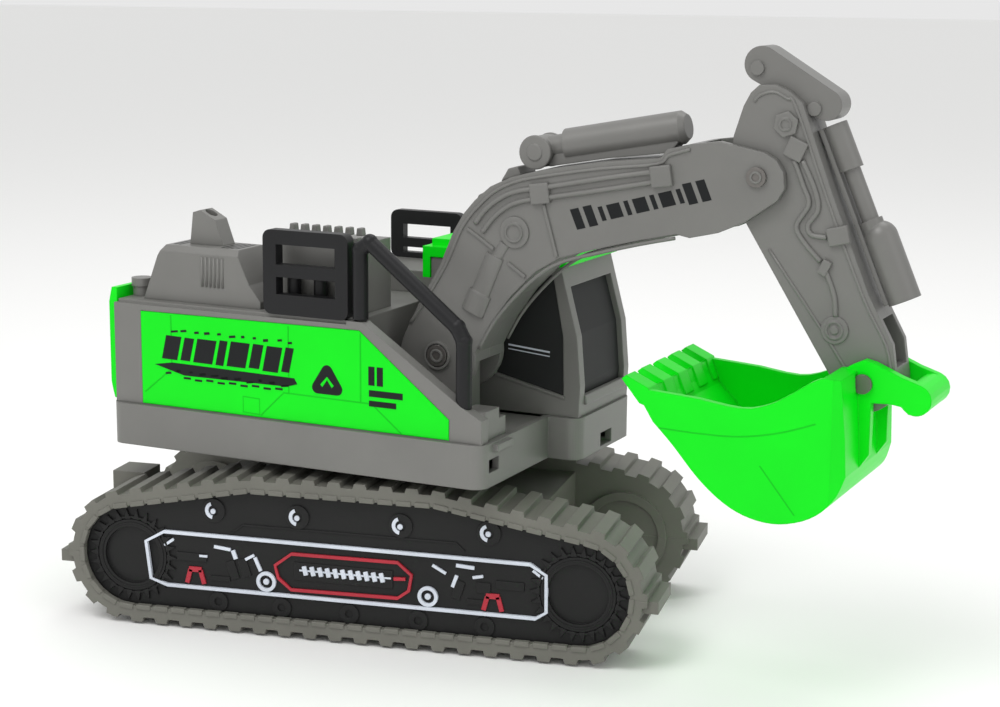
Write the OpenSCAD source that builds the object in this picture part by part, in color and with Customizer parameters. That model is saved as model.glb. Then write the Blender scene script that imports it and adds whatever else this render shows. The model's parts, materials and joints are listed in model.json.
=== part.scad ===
// Toy tracked excavator. The origin is on the ground under the slewing axis.
// +X runs forward along the tracks, +Y to the machine's left, +Z up.

/* [Tracks] */
// Distance between the front and rear sprocket centres
sprocket_span = 130; // [126:1:134]
// Width over both tracks
tracks_w = 82.4; // [80:0.2:86]
// Width of one track
track_w = 20.5; // [19:0.5:21]
// Number of tread pads round one track
pad_count = 50; // [40:1:56]

/* [House] */
// Angle of the house on the undercarriage, seen from above
house_yaw = -10.9; // [-30:0.1:30]
// Width of the house tray
tray_w = 80; // [78:1:82]

/* [Arm] */
// Width over the two boom halves
boom_w = 18; // [18:0.5:20]
// Width of the bucket
bucket_w = 48.4; // [44:0.4:50]
// Number of bucket teeth
tooth_count = 5; // [4:1:6]

/* [Hidden] */

$fn = 48;

// colours
body_grey = [0.49, 0.48, 0.45];
track_grey = [0.46, 0.47, 0.42];
near_black = [0.15, 0.15, 0.15];
bright_green = [0, 0.85, 0.1];
steel = [0.7, 0.7, 0.7];

// tracks
split_z = 20.2;         // joint plane between the two undercarriage mouldings
belt_r = 17.9;          // outside of the belt round a sprocket
belt_t = 3.3;           // thickness of the belt
pad_h = 1.4;            // height of a tread pad
sprocket_z = 20;
carrier_z = 26.9;       // height of the two upper rollers that lift the belt
carrier_x = [-28, 24];
track_in = tracks_w / 2 - track_w;
wall = 2;
half_span = sprocket_span / 2;
rollers = [[-half_span, sprocket_z], [half_span, sprocket_z],
           [carrier_x[1], carrier_z], [carrier_x[0], carrier_z]];
lip_x = 80;
lip_len = 7;

// wheels hidden in the tracks
wheel_x = 62;
wheel_r = 8.5;
wheel_y = [25.5, 34];
axle_r = 1.5;
run_gap = 0.06;         // radial clearance of a turning fit

// chassis between the tracks
chassis_x = 50;
chassis_top = 38;
pan_z = 4;
screw_r = 1.2;
chassis_screw_at = [[-40, -14], [-40, 14], [40, -14], [40, 14]];

// turret and swivel
turret_r = 20;
turret_top = 48.7;
hub_r = 8;
hub_bottom = 46.4;

// house
tray_z = 49;
tray_top = 61;
tray_rear = -71;
tray_front = 49;
cab_front = 58.5;
cab_y = 1.5;
deck_z = 91;
shell_x = [-69.8, 9];
shell_y = 38.6;
house_screw_at = [[-62, -31], [-62, 31], [2, -31], [2, 31]];

// arm, in the plane of the boom
arm_y = -11;
boom_y = [arm_y - boom_w / 2, arm_y + boom_w / 2];
boom_wall = 2.2;
boom_pivot = [25.2, 80.1];
stick_pivot = [115.5, 134.1];
bucket_pivot = [145.1, 84.1];
root_r = 11.6;
fork_x = 100;
stick_w = boom_w - 2 * boom_wall - 0.6;
stick_y = [arm_y - stick_w / 2, arm_y + stick_w / 2];
boom_pin_r = 2;
small_pin_r = 1.8;
boom_boss_at = [[48.3, 115.7], [74, 124], [92, 128]];
stick_boss_at = [[122, 147.5], [136.5, 96.5]];
ear_t = 2.6;
bucket_y = [arm_y - bucket_w / 2, arm_y + bucket_w / 2];
tooth_w = 5.9;

// ---------- helpers ----------

// Extrudes a side view (X across, Z up) from y0 to y1
module slab(y0, y1) {
  translate([0, y1, 0]) rotate([90, 0, 0]) linear_extrude(y1 - y0) children();
}

// Round bar along Y
module bar_y(at, r, y0, y1) {
  translate([at[0], y1, at[1]]) rotate([90, 0, 0]) cylinder(r = r, h = y1 - y0);
}

module box(lo, hi) {
  translate(lo) cube(hi - lo);
}

module in_house() {
  rotate([0, 0, house_yaw]) children();
}

// Round bar between two points of a side view, held in the plane at y
module rail_bar(p, q, y, r, short) {
  d = q - p;
  run = norm(d);
  translate([p[0], y, p[1]]) rotate([0, 90 - atan2(d[1], d[0]), 0])
    translate([0, 0, short]) cylinder(r = r, h = run - 2 * short);
}

function arc(c, r, a0, a1, steps) =
  [for (i = [0:steps]) let (a = a0 + (a1 - a0) * i / steps) c + r * [cos(a), sin(a)]];

// ---------- track outline ----------

// Outward angle of the belt run from roller i to the next one, counter-clockwise
function run_angle(i) =
  let (p = rollers[(i + 4) % 4], q = rollers[(i + 5) % 4]) atan2(q[1] - p[1], q[0] - p[0]) - 90;
// Angle that the belt turns through on roller i
function wrap(i) = let (d = run_angle(i) - run_angle(i - 1)) d < 0 ? d + 360 : d;
function run_len(i) = norm(rollers[(i + 5) % 4] - rollers[i]);
function belt_len(i = 0) =
  i > 3 ? 0 : wrap(i) * belt_r * PI / 180 + run_len(i) + belt_len(i + 1);

// Point at distance s along the belt and the outward angle there
function along(s, i = 0) =
  let (turn = wrap(i) * belt_r * PI / 180, run = run_len(i), a0 = run_angle(i - 1))
  s <= turn ? [rollers[i], a0 + s / belt_r * 180 / PI, 0]
  : s <= turn + run || i == 3 ? [rollers[i], run_angle(i), s - turn]
  : along(s - turn - run, i + 1);
function place(f, r) =
  f[0] + r * [cos(f[1]), sin(f[1])] + f[2] * [-sin(f[1]), cos(f[1])];

pitch = belt_len() / pad_count;
pad_share = 0.55;

module belt_outside() {
  polygon([for (k = [0:pad_count - 1], e = [[0, 0], [0.06, 1], [pad_share - 0.06, 1], [pad_share, 0],
    [(1 + pad_share) / 2, 0]]) place(along((k + e[0]) * pitch), belt_r + pad_h * e[1])]);
}

module belt_shape(r) {
  polygon([for (i = [0:3]) each arc(rollers[i], r, run_angle(i - 1), run_angle(i - 1) + wrap(i), 12)]);
}

// ---------- undercarriage ----------

// Keeps the part above (top) or below the joint plane
module half_plane(top) {
  translate([-100, top ? split_z : split_z - 60]) square([200, 60]);
}

module track_half(side, top) {
  y_out = tracks_w / 2;
  mirror([0, side < 0 ? 1 : 0, 0]) {
    slab(track_in + wall, y_out) intersection() {
      difference() {
        belt_outside();
        belt_shape(belt_r - belt_t);
      }
      half_plane(top);
    }
    slab(track_in, track_in + wall) intersection() {
      belt_outside();
      half_plane(top);
    }
    for (x = [-half_span, half_span]) {
      slab(track_in - 1, track_in) intersection() {
        translate([x, sprocket_z]) difference() {
          circle(r = 13);
          circle(r = 10.5);
        }
        half_plane(top);
      }
    }
    if (!top) {
      for (s = [-1, 1]) {
        x0 = s > 0 ? lip_x : -lip_x - lip_len;
        box([x0, track_in + 1, split_z - 3.6], [x0 + lip_len, y_out - 1, split_z - 0.2]);
      }
    }
  }
}

module undercarriage_upper() {
  color(track_grey) difference() {
    union() {
      for (side = [-1, 1]) track_half(side, true);
      difference() {
        box([-chassis_x, -track_in, split_z], [chassis_x, track_in, chassis_top]);
        box([-chassis_x + wall, -track_in + wall, split_z - 1],
            [chassis_x - wall, track_in - wall, chassis_top - wall]);
      }
      // tow block at the rear
      box([-80, -20, split_z], [-chassis_x, -9, split_z + wall]);
      box([-80, -20, split_z], [-70, -9, 38.8]);
      translate([0, 0, chassis_top - wall]) cylinder(r = turret_r, h = turret_top - chassis_top + wall);
      for (p = chassis_screw_at) translate([p[0], p[1], split_z]) cylinder(r = 3, h = 16.5);
    }
    translate([0, 0, chassis_top - wall - 1])
      cylinder(r = turret_r - 3, h = turret_top - chassis_top + 1);
    translate([0, 0, 40]) cylinder(r = hub_r + 0.1, h = 20);
    for (p = chassis_screw_at) translate([p[0], p[1], split_z - 1]) cylinder(r = screw_r + 0.05, h = 14);
  }
}

module undercarriage_lower() {
  color(track_grey) difference() {
    union() {
      for (side = [-1, 1]) track_half(side, false);
      difference() {
        box([-chassis_x, -track_in, pan_z], [chassis_x, track_in, split_z]);
        box([-chassis_x + wall, -track_in + wall, pan_z + wall],
            [chassis_x - wall, track_in - wall, split_z + 1]);
      }
      for (p = chassis_screw_at) translate([p[0], p[1], pan_z]) cylinder(r = 3.5, h = split_z - pan_z);
    }
    for (p = chassis_screw_at) translate([p[0], p[1], pan_z - 1]) {
      cylinder(r = screw_r + 0.1, h = 30);
      cylinder(r = 2.6, h = 3);
    }
    for (x = [-wheel_x, wheel_x]) {
      bar_y([x, wheel_r], axle_r + run_gap, -track_in - 3, track_in + 3);
      for (s = [-1, 1]) {
        y0 = s > 0 ? wheel_y[0] - 0.8 : -wheel_y[1] - 0.8;
        box([x - 9, y0, -2], [x + 9, y0 + wheel_y[1] - wheel_y[0] + 1.6, 7]);
      }
    }
  }
}

// Black cover inside the belt, with sprocket faces and roller bosses
module side_panel() {
  y0 = tracks_w / 2 - 3.6;
  y1 = y0 + 1.6;
  color(near_black) {
    difference() {
      slab(y0, y1) belt_shape(belt_r - belt_t - 0.1);
      for (x = [-half_span, half_span]) bar_y([x, sprocket_z], 8.4, y1 - 0.5, y1 + 1);
    }
    for (x = [-half_span, half_span]) {
      difference() {
        bar_y([x, sprocket_z], 10.4, y1 - 0.4, y1 + 0.6);
        bar_y([x, sprocket_z], 8.4, y1 - 0.6, y1 + 1);
      }
    }
    for (x = [-40, -15, 15, 40]) {
      difference() {
        bar_y([x, 35], 3.4, y1 - 0.4, y1 + 0.5);
        bar_y([x, 35], 1.5, y1 - 0.1, y1 + 1);
      }
    }
    for (x = [-39, -20, 0, 20, 39]) {
      difference() {
        bar_y([x, 8.4], 2.8, y1 - 0.4, y1 + 0.5);
        bar_y([x, 8.4], 1.2, y1 - 0.1, y1 + 1);
      }
    }
    for (x = [-30, 30]) bar_y([x, 27], 2, track_in + wall, y0 + 0.4);
  }
}
module side_panel_right() {
  mirror([0, 1, 0]) side_panel();
}
module side_panel_left() {
  side_panel();
}

module chassis_screws() {
  color(steel) for (p = chassis_screw_at) translate([p[0], p[1], pan_z + 0.3]) {
    cylinder(r = 2.4, h = 1.7);
    cylinder(r = screw_r, h = 27);
  }
}

module axle(x) {
  color(steel) bar_y([x, wheel_r], axle_r, -wheel_y[1] + 0.5, wheel_y[1] - 0.5);
}
module front_axle() {
  axle(wheel_x);
}
module rear_axle() {
  axle(-wheel_x);
}

module wheel(x, side) {
  y0 = side > 0 ? wheel_y[0] : -wheel_y[1];
  y1 = side > 0 ? wheel_y[1] : -wheel_y[0];
  rim0 = side > 0 ? y1 - 2 : y0 - 1;
  color(near_black) difference() {
    bar_y([x, wheel_r], wheel_r, y0, y1);
    bar_y([x, wheel_r], axle_r, y0 - 1, y1 + 1);
    difference() {
      bar_y([x, wheel_r], wheel_r - 2, rim0, rim0 + 3);
      bar_y([x, wheel_r], axle_r + 1.5, rim0 - 1, rim0 + 4);
    }
  }
}
module wheel_front_right() {
  wheel(wheel_x, -1);
}
module wheel_front_left() {
  wheel(wheel_x, 1);
}
module wheel_rear_right() {
  wheel(-wheel_x, -1);
}
module wheel_rear_left() {
  wheel(-wheel_x, 1);
}

// ---------- house ----------

module swivel_washer() {
  color(steel) translate([0, 0, hub_bottom - 1.2]) difference() {
    cylinder(r = 12, h = 1.2);
    translate([0, 0, -1]) cylinder(r = 1.6, h = 4);
  }
}

module swivel_screw() {
  color(steel) translate([0, 0, hub_bottom - 3.2]) {
    cylinder(r = 4, h = 2);
    cylinder(r = 1.5, h = 14);
  }
}

module tray_outline() {
  polygon([[tray_rear, -tray_w / 2], [tray_front, -tray_w / 2], [tray_front, cab_y],
    [cab_front, cab_y], [cab_front, tray_w / 2], [tray_rear, tray_w / 2]]);
}

// Rounds the upright corners of the tray
module rounded_tray(inset) {
  offset(r = 4, $fn = 32) offset(delta = -4 - inset) tray_outline();
}

module house_tray() {
  color(body_grey) in_house() difference() {
    union() {
      difference() {
        translate([0, 0, tray_z]) linear_extrude(tray_top - tray_z) rounded_tray(0);
        translate([0, 0, tray_z + wall]) linear_extrude(20) rounded_tray(wall);
      }
      translate([0, 0, hub_bottom]) cylinder(r = hub_r, h = 13);
      for (p = house_screw_at) translate([p[0], p[1], tray_z]) cylinder(r = 4, h = tray_top - tray_z);
      // catch on the front edge
      box([tray_front - 1, -33.5, tray_top - 2.6], [tray_front + 1.4, -24, tray_top - 0.6]);
    }
    translate([0, 0, hub_bottom - 1]) cylinder(r = 1.55, h = 13);
    for (p = house_screw_at) translate([p[0], p[1], tray_z - 1]) {
      cylinder(r = screw_r + 0.1, h = 30);
      cylinder(r = 2.6, h = 3);
    }
    // catch windows in the two front faces
    box([tray_front - 5, -36, tray_z + 4], [tray_front + 3, -30, tray_z + 7.6]);
    box([cab_front - 5, 17, tray_z + 1], [cab_front + 3, 25, tray_z + 5]);
  }
}

// Side view of the right front pod, sloping down to the front
pod_side = [[shell_x[1] - 2, tray_top], [48, tray_top], [48, 67.5], [42, 70.7], [12, deck_z],
  [shell_x[1] - 2, deck_z]];

panel_side = [[-60.6, tray_top + 0.3], [38.4, tray_top + 0.3], [38.4, 67], [11, 88.8], [-60.6, 88.3]];
panel_left_side = [[-60.6, tray_top + 0.3], [7, tray_top + 0.3], [7, 88.3], [-60.6, 88.3]];
panel_depth = 1.3;

module house_shell() {
  color(body_grey) in_house() difference() {
    union() {
      difference() {
        union() {
          box([shell_x[0], -shell_y, tray_top], [shell_x[1], shell_y, deck_z - 1]);
          box([shell_x[0] + 1, -shell_y + 1, tray_top], [shell_x[1], shell_y - 1, deck_z]);
        }
        box([shell_x[0] + 3, -shell_y + 3, tray_top - 1], [shell_x[1] - 2, shell_y - 3, deck_z - 2]);
      }
      slab(-shell_y, -shell_y + 4) polygon(pod_side);
      // walkway between the side wall and the boom
      difference() {
        box([shell_x[1] - 1, -shell_y + 4, tray_top], [47, boom_y[0] - 2, tray_top + 5]);
        box([shell_x[1] + 2, -shell_y + 6, tray_top - 1], [45, boom_y[0] - 4, tray_top + 3]);
      }
      box([40, -34.6, tray_top + 4], [47, -26, tray_top + 8]);
      for (p = house_screw_at) translate([p[0], p[1], tray_top]) cylinder(r = 3, h = deck_z - tray_top - 1);
    }
    for (p = house_screw_at) translate([p[0], p[1], tray_top - 1]) cylinder(r = screw_r + 0.05, h = 18);
    slab(-shell_y - 1, -shell_y + panel_depth) polygon(panel_side);
    slab(shell_y - panel_depth, shell_y + 1) polygon(panel_left_side);
  }
}

// Tongue inside the boom's foot that carries the boom pin
module boom_bracket() {
  y0 = arm_y - 4;
  y1 = arm_y + 4;
  color(body_grey) in_house() difference() {
    union() {
      bar_y(boom_pivot, 6.5, y0, y1);
      box([boom_pivot[0] - 6.5, y0, tray_z + wall], [boom_pivot[0] + 6.5, y1, boom_pivot[1]]);
    }
    bar_y(boom_pivot, boom_pin_r + run_gap, y0 - 1, y1 + 1);
  }
}

hood_side = [[-62.3, deck_z], [-57.3, 103.8], [-55.3, 106.9], [-31, 106.9], [-26.6, 97.5], [-23, 93],
  [-23, deck_z]];

module engine_hood() {
  color(body_grey) in_house() difference() {
    slab(-34.4, -17) polygon(hood_side);
    slab(-32.4, -19) offset(delta = -2) polygon(hood_side);
    // chamfer along the near and far top edges
    translate([0, -34.4, 107.4]) rotate([45, 0, 0]) cube([140, 3, 3], center = true);
    translate([0, -17, 107.4]) rotate([45, 0, 0]) cube([140, 5, 5], center = true);
  }
}

exhaust_side = [[-50.1, 106.9], [-49, 116], [-46.5, 116.8], [-41.6, 114.2], [-38.9, 106.9]];

module exhaust_stack() {
  color(body_grey) in_house() difference() {
    slab(-28.4, -22.4) polygon(exhaust_side);
    translate([-45.4, -25.4, 112]) rotate([0, 10, 0]) cylinder(r = 1.8, h = 8);
  }
}

module filler_cap() {
  color(body_grey) in_house() translate([-66.4, -29.5, deck_z]) {
    cylinder(r = 2.6, h = 3);
    translate([0, 0, 2.8]) cylinder(r = 3, h = 2.4);
  }
}

module radiator_box() {
  color(body_grey) in_house() {
    difference() {
      box([-22.6, -30.5, deck_z], [6, -12, 110.6]);
      box([-20.6, -28.5, deck_z + 2], [4, -14, 108.6]);
    }
    for (k = [0:6]) box([-21.6 + k * 4.2, -30.5, 110.4], [-19.4 + k * 4.2, -28, 112.4]);
  }
}

module deck_knobs() {
  color(near_black) in_house() for (x = [-13, -4.5]) translate([x, -32.6, deck_z]) {
    cylinder(r = 1.6, h = 6);
    translate([0, 0, 5]) cylinder(r = 1.9, h = 4.6);
  }
}

module rear_deck_box() {
  color(body_grey) in_house() difference() {
    box([-22, 12, deck_z], [7, 37, 97.5]);
    box([-20, 14, deck_z - 1], [5, 35, 95.5]);
  }
}

module body_panel_right() {
  color(bright_green) in_house() slab(-shell_y - 0.1, -shell_y + panel_depth)
    offset(delta = -0.1) polygon(panel_side);
}
module body_panel_left() {
  color(bright_green) in_house() slab(shell_y - panel_depth, shell_y + 0.1)
    offset(delta = -0.1) polygon(panel_left_side);
}

module counterweight_cover() {
  bow_r = 600;
  color(bright_green) in_house() intersection() {
    box([-76, -37, tray_top + 0.6], [shell_x[0], 37, 94]);
    translate([-73.8 + bow_r, 0, 0]) cylinder(r = bow_r, h = 200, $fn = 360);
    translate([0, 0, 78]) rotate([90, 0, 0]) translate([-73.8 + 60, 0, -50])
      cylinder(r = 60, h = 100, $fn = 160);
  }
}

// Rounded window frame in side view
module guard_side(lo, hi, bars) {
  difference() {
    translate(lo) offset(r = 2.4, $fn = 32) offset(delta = -2.4) square(hi - lo);
    for (b = bars) {
      translate([lo[0] + 4.2, b[0]]) square([hi[0] - lo[0] - 8.2, b[1] - b[0]]);
    }
  }
}

module handrail_right_guard() {
  color(near_black) in_house() slab(-38.5, -34.9)
    guard_side([-19.4, deck_z], [7.4, 114.4], [[96.6, 101.4], [104.8, 110.4]]);
}

rail_y = -36.4;
rail_r = 2.15;
rail_ball = 2.3;
rail_short = 0.5;
rail_path = [[10.2, deck_z], [10.2, 110.5], [13.2, 112.6], [39.6, 91.8], [41.6, 88.2], [41.6, 68]];

// Straight bars joined by slightly fuller ball corners; the lower end lies on the side cheek
module handrail_right_rail() {
  color(near_black) in_house() difference() {
    union() {
      for (i = [0:len(rail_path) - 2]) {
        rail_bar(rail_path[i], rail_path[i + 1], rail_y, rail_r, rail_short);
      }
      for (i = [1:len(rail_path) - 2]) {
        translate([rail_path[i][0], rail_y, rail_path[i][1]]) sphere(r = rail_ball);
      }
    }
    slab(-shell_y - 1, -shell_y + 6) polygon(pod_side);
    box([30, -45, 50], [60, -30, 70]);
  }
}

module handrail_left_guard() {
  color(near_black) in_house() slab(34, 37)
    guard_side([-19.4, 97.5], [5, 112], [[99.2, 100.8], [103.6, 107.8]]);
}

// ---------- cab ----------

cab_ys = [3, 38.4];
cab_side = [[11, tray_top], [57.6, tray_top], [58, 70], [56.8, 84], [51.6, 103.4], [11, 103.4]];
window_side = [[53, 67], [31, 72], [16, 72], [16, 101], [49.3, 101], [52.6, 84]];

module cab_frame() {
  color(body_grey) in_house() difference() {
    slab(cab_ys[0], cab_ys[1]) polygon(cab_side);
    slab(cab_ys[0] + 2, cab_ys[1] - 2) polygon([[13, tray_top - 1], [55, tray_top - 1], [55.4, 70],
      [54.2, 84], [49.2, 101.4], [13, 101.4]]);
    slab(cab_ys[0] - 1, cab_ys[0] + 3) polygon(window_side);
    slab(cab_ys[1] - 3, cab_ys[1] + 1) polygon(window_side);
    box([47, cab_ys[0] + 3.4, 66], [60, cab_ys[1] - 3.4, 97.6]);
  }
}

// Dark window and door panel set in each side of the cab
module cab_panel(y0) {
  color(near_black) in_house() slab(y0, y0 + 1.6) offset(delta = -0.1) polygon(window_side);
}
module cab_panel_right() {
  cab_panel(cab_ys[0] + 0.3);
}
module cab_panel_left() {
  cab_panel(cab_ys[1] - 1.9);
}

module cab_windscreen() {
  color(near_black) in_house() slab(cab_ys[0] + 3.5, cab_ys[1] - 3.5)
    polygon([[55.3, 66.1], [56.2, 66.1], [56.4, 70], [55.2, 84], [51.4, 97.5], [49.9, 97.5], [53.4, 84],
      [54.6, 70]]);
}

module cab_roof() {
  roof_lo = [8.4, 2.6];
  roof_hi = [53.4, 38.8];
  color(bright_green) in_house() {
    difference() {
      union() {
        box([roof_lo[0], roof_lo[1], 103.5], [roof_hi[0], roof_hi[1], 106.5]);
        box([roof_lo[0] + 2, roof_lo[1] + 2, 106.3], [roof_hi[0] - 2, roof_hi[1] - 2, 108.6]);
      }
      box([roof_lo[0] + 5, roof_lo[1] + 5, 103], [roof_hi[0] - 5, roof_hi[1] - 5, 106.4]);
    }
    box([roof_lo[0], roof_lo[1], 97.5], [10.8, roof_hi[1], 103.7]);
  }
}

module house_screws() {
  color(steel) in_house() for (p = house_screw_at) translate([p[0], p[1], tray_z + 0.3]) {
    cylinder(r = 2.4, h = 1.6);
    cylinder(r = screw_r, h = 26);
  }
}

// ---------- boom ----------

boom_side = concat(
  arc(boom_pivot, root_r, 150, 368, 20),
  [[41.1, 89.9], [47, 98], [54.3, 105.4], [61.6, 109.7], [73, 113.1], [84.3, 116], [94.2, 118.2],
   [98, 117.5], [105.6, 119.3], [112.7, 122.5], [121, 128.4], [122.8, 131.6], [122.4, 135.6],
   [120.4, 138.6], [117.4, 140.3], [105.4, 142.6], [97.4, 141.5], [91.4, 140], [89.3, 137.5],
   [72.6, 135.7], [55.5, 132.7], [47, 130.4], [41, 127.6], [36.3, 123.6], [32.8, 119.6], [30, 115],
   [25.8, 105.2], [19.5, 94.5]]);

module boom_half(side) {
  out = side < 0 ? boom_y[0] : boom_y[1];
  plate_in = out - side * boom_wall;
  ys = side < 0 ? [out, arm_y] : [arm_y, out];
  pocket = side < 0 ? [plate_in, arm_y + 1] : [arm_y - 1, plate_in];
  boss = side < 0 ? [plate_in - 1, arm_y] : [arm_y, plate_in + 1];
  color(body_grey) in_house() difference() {
    union() {
      difference() {
        slab(ys[0], ys[1]) polygon(boom_side);
        slab(pocket[0], pocket[1]) offset(delta = -boom_wall) polygon(boom_side);
        box([boom_pivot[0] - 20, pocket[0], boom_pivot[1] - 20],
            [boom_pivot[0] + 20, pocket[1], boom_pivot[1] - 1]);
        box([fork_x, pocket[0], 100], [140, pocket[1], 160]);
      }
      for (p = boom_boss_at) bar_y(p, 3, boss[0], boss[1]);
    }
    for (p = boom_boss_at) bar_y(p, screw_r + 0.05, arm_y - 5, arm_y + 20);
    bar_y(boom_pivot, boom_pin_r, boom_y[0] - 1, boom_y[1] + 1);
    bar_y(stick_pivot, small_pin_r, boom_y[0] - 1, boom_y[1] + 1);
  }
}
module boom_half_right() {
  boom_half(-1);
}
module boom_half_left() {
  boom_half(1);
}

// Imitation hydraulic cylinder along the top of the boom
module arm_cylinder() {
  foot = [59.6, 138.9];
  angle = 10.6;
  color(body_grey) in_house() {
    translate([foot[0], arm_y, foot[1]]) rotate([0, 90 - angle, 0]) {
      cylinder(r = 4.4, h = 33);
      translate([0, 0, 33]) cylinder(r1 = 4.4, r2 = 3.2, h = 1.6, $fn = 48);
      translate([0, 0, -5]) cylinder(r = 3.2, h = 6);
    }
    bar_y([52.2, 136.9], 4.3, arm_y - 4.5, arm_y + 4.5);
    // web that joins the cylinder to the top of the boom
    slab(arm_y - 3, arm_y + 3) polygon([[55, 133.2], [57, 136.4], [88, 142], [92, 141.4], [89.6, 138.4],
      [72.6, 136.2], [55.8, 133.2]]);
  }
}

module pin_bolt(at, r, head, y0, y1) {
  color(steel) in_house() {
    bar_y(at, r, y0, y1);
    bar_y(at, head, y0 - 0.9, y0);
    bar_y(at, head, y1, y1 + 0.9);
  }
}
module boom_pin() {
  pin_bolt(boom_pivot, boom_pin_r, 3, boom_y[0], boom_y[1]);
}
module stick_pin() {
  pin_bolt(stick_pivot, small_pin_r, 2.6, boom_y[0], boom_y[1]);
}

module arm_screws(spots, y1) {
  color(steel) in_house() for (p = spots) {
    bar_y(p, screw_r, arm_y - 4, y1 - 0.9);
  }
}
module boom_screws() {
  arm_screws(boom_boss_at, boom_y[1]);
}
module stick_screws() {
  arm_screws(stick_boss_at, stick_y[1]);
}

// ---------- stick ----------

stick_side = concat(
  arc(bucket_pivot, 7.8, 200, 376, 16),
  [[151.4, 94], [144.8, 106], [134.6, 130.4], [126, 152.8], [122.6, 155.6], [118.8, 157.2],
   [114.6, 157], [112.4, 155], [110.6, 151.6], [108.2, 144], [107.3, 134], [109.4, 126.4],
   [112.7, 121.2]]);

link_top = [114.2, 162];
link_low = [131.4, 152.4];

module link_shape(extra) {
  slab(arm_y - 4 - extra, arm_y + 4 + extra) hull() {
    translate(link_top) circle(r = 4.6 + extra, $fn = 32);
    translate(link_low) circle(r = 3.9 + extra, $fn = 32);
  }
}

module stick_half(side) {
  out = side < 0 ? stick_y[0] : stick_y[1];
  plate_in = out - side * wall;
  ys = side < 0 ? [out, arm_y] : [arm_y, out];
  pocket = side < 0 ? [plate_in, arm_y + 1] : [arm_y - 1, plate_in];
  boss = side < 0 ? [plate_in - 1, arm_y] : [arm_y, plate_in + 1];
  color(body_grey) in_house() difference() {
    union() {
      difference() {
        slab(ys[0], ys[1]) polygon(stick_side);
        slab(pocket[0], pocket[1]) offset(delta = -wall) polygon(stick_side);
        box([143, pocket[0], 88], [160, pocket[1], 100]);
        link_shape(0.1);
      }
      for (p = stick_boss_at) bar_y(p, 3, boss[0], boss[1]);
      for (p = [stick_pivot, bucket_pivot]) bar_y(p, 4, boss[0], boss[1]);
    }
    for (p = stick_boss_at) bar_y(p, screw_r + 0.05, arm_y - 5, arm_y + 20);
    bar_y(stick_pivot, small_pin_r + run_gap, stick_y[0] - 1, stick_y[1] + 1);
    bar_y(bucket_pivot, small_pin_r + run_gap, stick_y[0] - 1, stick_y[1] + 1);
  }
}
module stick_half_right() {
  stick_half(-1);
}
module stick_half_left() {
  stick_half(1);
}

module stick_link() {
  color(body_grey) in_house() {
    link_shape(0);
    for (p = [link_top + [-1, -1], link_low + [-3, -1]]) bar_y(p, 1.8, arm_y - 4.8, arm_y + 4.8);
  }
}

// Imitation bucket cylinder down the front of the stick
module bucket_cylinder() {
  front_top = [126, 152.8];
  front_low = [151.4, 94];
  run = front_low - front_top;
  lean = atan2(run[0], -run[1]);
  color(body_grey) in_house() translate([front_top[0], arm_y, front_top[1]]) rotate([0, 180 - lean, 0]) {
    translate([-3.9, 0, 7.5]) cylinder(r = 3.1, h = 12);
    translate([-3.9, 0, 19]) cylinder(r = 2.2, h = 17);
    translate([-5, 0, 38]) sphere(r = 4.2);
    translate([-5, 0, 38]) cylinder(r = 4.2, h = 17);
    translate([-3.9, 0, 33]) cylinder(r = 3, h = 5);
    translate([-1.4, -2.6, 7.5]) cube([1.2, 5.2, 47]);
  }
}

// ---------- bucket ----------

bucket_side = [[92.6, 80.2], [92.1, 76.6], [95, 72], [95.97, 71.05], [97.36, 69.69],
  [98.97, 68.09], [100.6, 66.4], [102.25, 64.55], [104.01, 62.5], [105.82, 60.45], [107.6, 58.6],
  [109.35, 56.98], [111.1, 55.5], [112.85, 54.17], [114.6, 53], [116.33, 52.01], [118.06, 51.19],
  [119.8, 50.52], [121.6, 50], [123.47, 49.61], [125.4, 49.36], [127.35, 49.28], [129.3, 49.4],
  [131.3, 49.73], [133.34, 50.26], [135.31, 50.96], [137.1, 51.8], [138.71, 52.8], [140.19, 53.97],
  [141.5, 55.26], [142.6, 56.6], [143.47, 58.16], [144.14, 59.9], [144.64, 61.49], [145, 62.6],
  [144.6, 72], [143.4, 87.2], [142.16, 87.4], [140.35, 87.61], [138.3, 87.3], [135.96, 86.06],
  [133.37, 84.3], [131, 82.7], [129.13, 81.5], [127.46, 80.47], [125.6, 79.6], [123.49, 78.82],
  [121.17, 78.19], [118.4, 77.9], [114.52, 78.16], [110.18, 78.75], [107.1, 79.2]];
bucket_hollow = [[85, 84], [92.8, 80.2], [94.6, 75.4], [97, 73], [97.9, 72.12], [99.18, 70.88], [100.67, 69.39],
  [102.2, 67.8], [103.79, 66.01], [105.51, 64], [107.28, 61.99], [109, 60.2], [110.67, 58.68],
  [112.32, 57.3], [113.97, 56.08], [115.6, 55], [117.2, 54.08], [118.77, 53.31], [120.36, 52.69],
  [122, 52.2], [123.71, 51.83], [125.46, 51.59], [127.24, 51.5], [129, 51.6], [130.8, 51.91],
  [132.64, 52.4], [134.4, 53.04], [136, 53.8], [137.43, 54.69], [138.72, 55.72], [139.86, 56.85],
  [140.8, 58], [141.5, 59.31], [142, 60.76], [142.35, 62.08], [142.6, 63], [142, 78], [136, 96],
  [85, 96]];
ear_side = concat([[137, 60], [143, 59.6], [147.4, 66], [147.4, 79.4], [152.4, 79.6], [155, 79.2],
  [157, 77.4]],
  arc([158.6, 81.2], 4, -110, 70, 8),
  [[155, 86.6], [148, 89.6], [145.3, 90.2], [141.6, 88.4], [137, 85]]);
handle_side = concat(arc([158.6, 81.2], 4, -140, 110, 12), arc([158.6, 81.2], 2, 110, -140, 8));

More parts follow.
